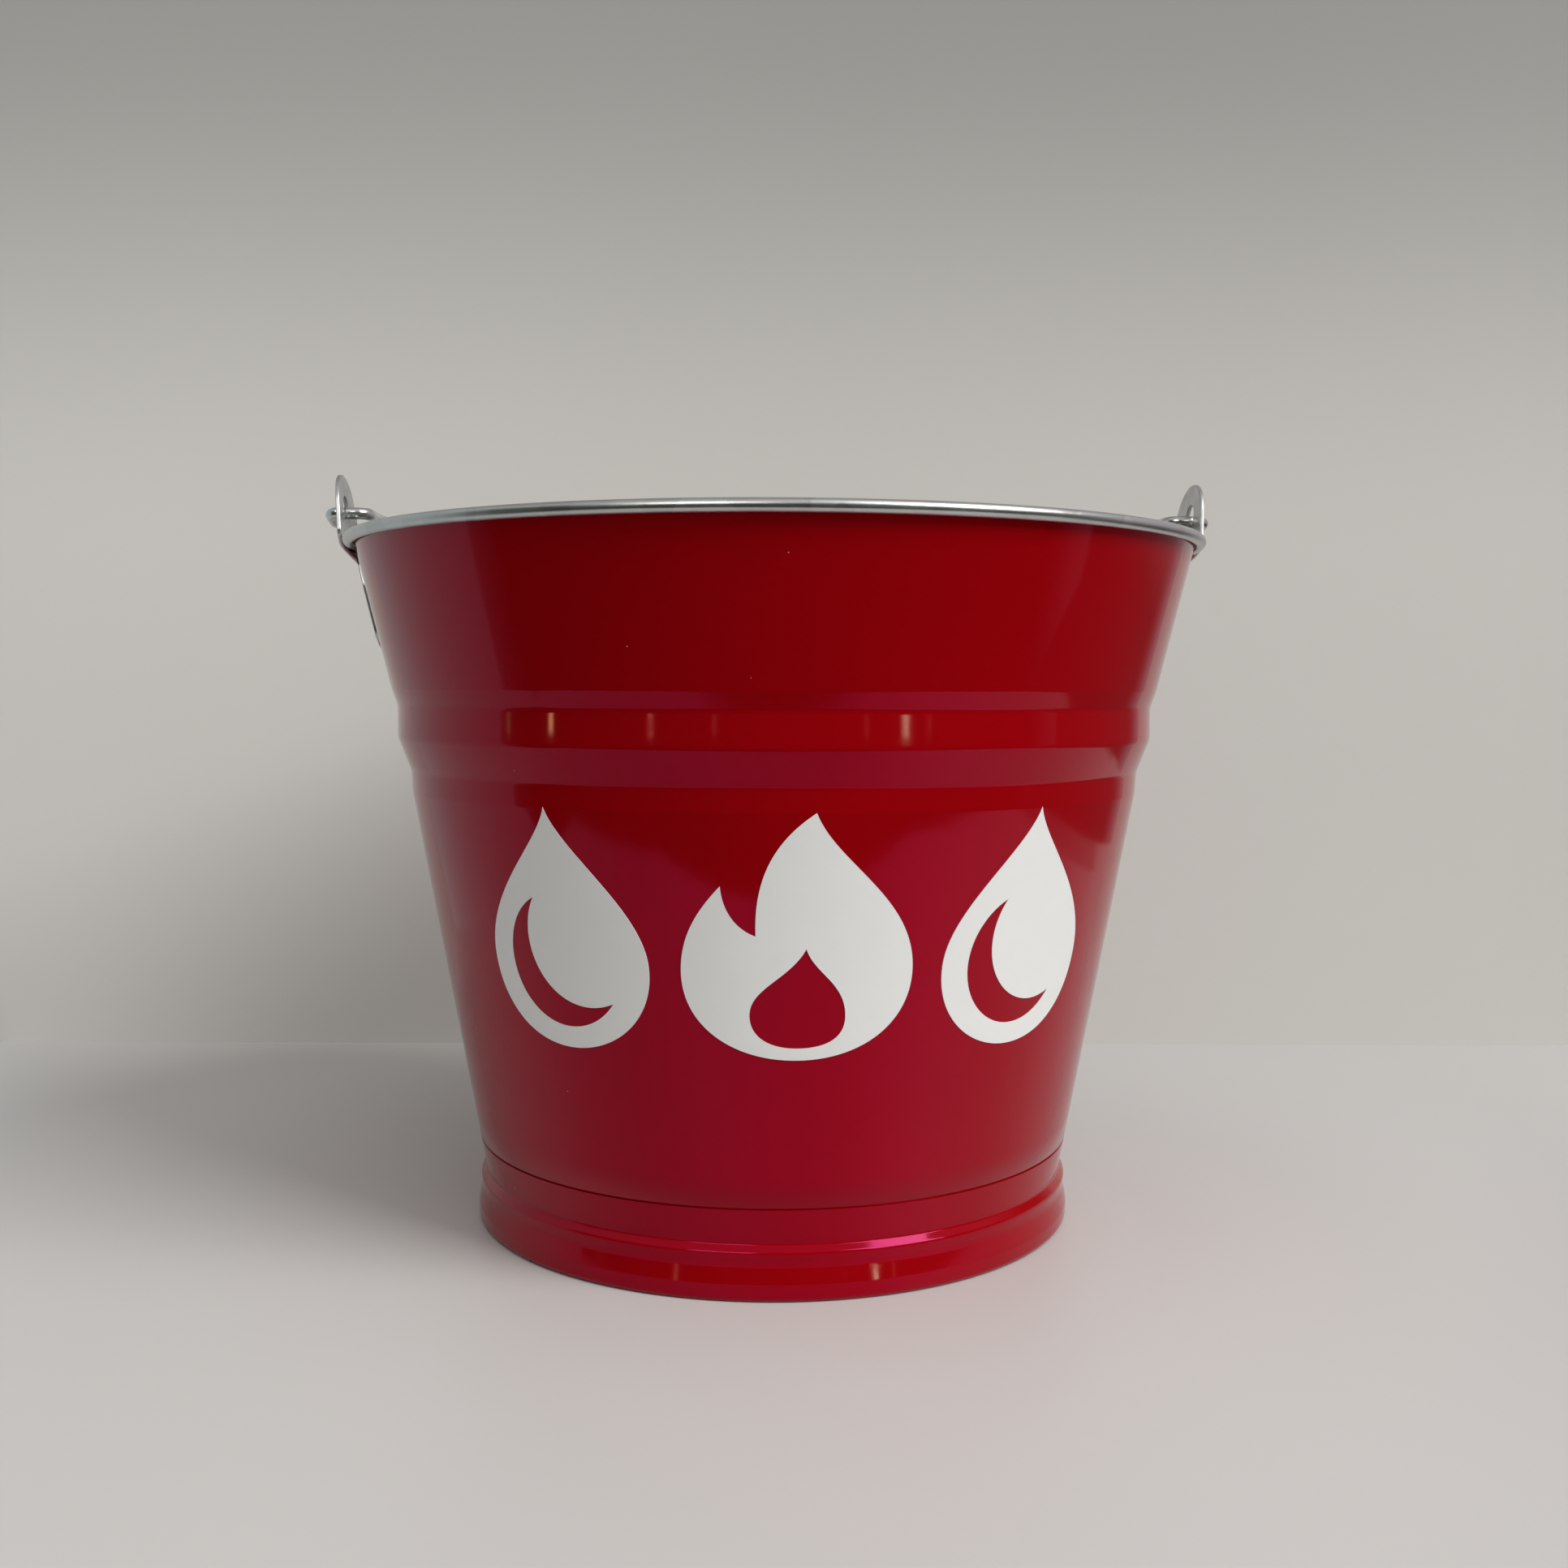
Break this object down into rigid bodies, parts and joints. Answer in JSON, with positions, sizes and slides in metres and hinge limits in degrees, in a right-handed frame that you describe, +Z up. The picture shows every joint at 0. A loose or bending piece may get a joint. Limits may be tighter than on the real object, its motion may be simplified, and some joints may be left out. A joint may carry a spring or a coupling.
{
  "type": "fire bucket",
  "caption": "Tapered sheet steel fire bucket with a rolled rim, a stiffening band, a flared foot ring and a swinging wire bail with a turned grip.",
  "frame": {"origin": "on the floor under the middle of the round foot", "axes": "+Z up along the axis of the bucket, +X through the right ear as seen from the marked front, which faces -Y"},
  "size_m": [0.3076, 0.2936, 0.2519],
  "materials": {
    "red_paint": "glossy enamel outside, bare zinc inside and on the rolled rim",
    "zinc_sheet": "satin galvanised sheet",
    "zinc_plate": "satin zinc-plated pressing",
    "steel_wire": "bright zinc-plated wire",
    "grip_wood": "turned beech with a thin clear varnish",
    "white_film": "satin cut film"
  },
  "bodies": {
    "bucket": {"body_shell": "red_paint", "rim_wire": "steel_wire", "bottom_plate": "zinc_sheet", "foot_ring": "red_paint", "foot_wire": "steel_wire", "ear_left": "zinc_plate", "ear_right": "zinc_plate", "rivets_left": "zinc_plate", "rivets_right": "zinc_plate", "mark_left": "white_film", "mark_centre": "white_film", "mark_right": "white_film"},
    "bail": {"bail": "steel_wire"},
    "grip": {"grip": "grip_wood"}
  },
  "joints": [
    {"name": "bail_swing", "type": "hinge", "parent": "bucket", "child": "bail", "pos_m": [0, 0, 0.239], "axis": [1, 0, 0], "range_deg": [0, 180]},
    {"name": "grip_spin", "type": "hinge", "parent": "bail", "child": "grip", "pos_m": [0, 0.14007, 0.2388], "axis": [1, 0, 0], "continuous": true}
  ]
}
